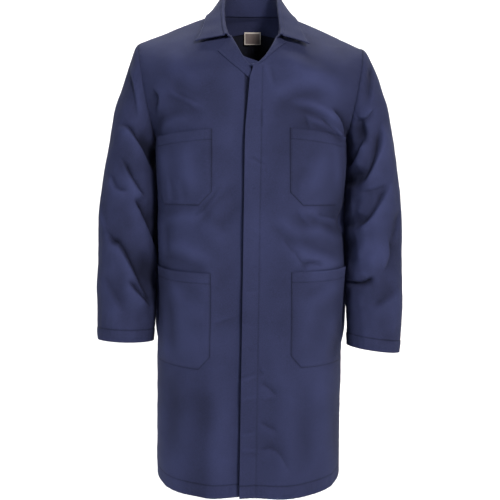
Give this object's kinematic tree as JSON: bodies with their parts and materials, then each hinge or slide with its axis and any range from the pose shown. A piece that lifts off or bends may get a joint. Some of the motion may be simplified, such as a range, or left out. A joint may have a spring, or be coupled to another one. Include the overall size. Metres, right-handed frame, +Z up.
{
  "type": "lab coat",
  "caption": "Knee-length lab coat with notched collar, concealed snap front, patch pockets on chest and hips and long straight sleeves, shaped as worn.",
  "frame": {"origin": "on the middle plane, level with the points where the neckline meets the shoulder seams, in the plane of those seams", "axes": "+Z up, the front of the coat faces -Y, +X is the wearer's left"},
  "size_m": [0.666, 0.2885, 1.0677],
  "materials": {
    "shell_twill": "matt navy work twill",
    "inner_twill": "the same twill, inner side",
    "interlining": "stiff non-woven interlining",
    "label_cloth": "plain woven label, blank",
    "snap_brass": "satin brass"
  },
  "bodies": {
    "root": {"left_front_panel": "shell_twill", "right_front_panel": "shell_twill", "left_back_panel": "shell_twill", "right_back_panel": "shell_twill", "upper_collar": "shell_twill", "left_lapel": "shell_twill", "right_lapel": "shell_twill", "left_chest_pocket": "shell_twill", "right_chest_pocket": "shell_twill", "left_lower_pocket": "shell_twill", "right_lower_pocket": "shell_twill", "left_front_facing": "inner_twill", "right_front_facing": "inner_twill", "back_neck_facing": "inner_twill", "under_collar": "inner_twill", "collar_interlining": "interlining", "neck_label": "label_cloth", "snap_stud_1": "snap_brass", "snap_stud_2": "snap_brass", "snap_stud_3": "snap_brass", "snap_stud_4": "snap_brass", "stud_ring_1": "snap_brass", "stud_ring_2": "snap_brass", "stud_ring_3": "snap_brass", "stud_ring_4": "snap_brass"},
    "left_sleeve": {"left_sleeve": "shell_twill"},
    "right_sleeve": {"right_sleeve": "shell_twill"},
    "front_band": {"front_band": "shell_twill", "fly_strip": "inner_twill", "snap_socket_1": "snap_brass", "snap_socket_2": "snap_brass", "snap_socket_3": "snap_brass", "snap_socket_4": "snap_brass", "socket_ring_1": "snap_brass", "socket_ring_2": "snap_brass", "socket_ring_3": "snap_brass", "socket_ring_4": "snap_brass"}
  },
  "joints": [
    {"name": "left_sleeve_swing", "type": "hinge", "parent": "root", "child": "left_sleeve", "pos_m": [0.2252, 0, -0.17], "axis": [-0.9862, 0, 0.1657], "range_deg": [-25, 50]},
    {"name": "right_sleeve_swing", "type": "hinge", "parent": "root", "child": "right_sleeve", "pos_m": [-0.2252, 0, -0.17], "axis": [-0.9862, 0, -0.1657], "range_deg": [-25, 50]},
    {"name": "placket_fold", "type": "hinge", "parent": "root", "child": "front_band", "pos_m": [0.01, -0.1523, -1], "axis": [0.0151, 0.0163, 0.9998], "range_deg": [0, 140]}
  ]
}
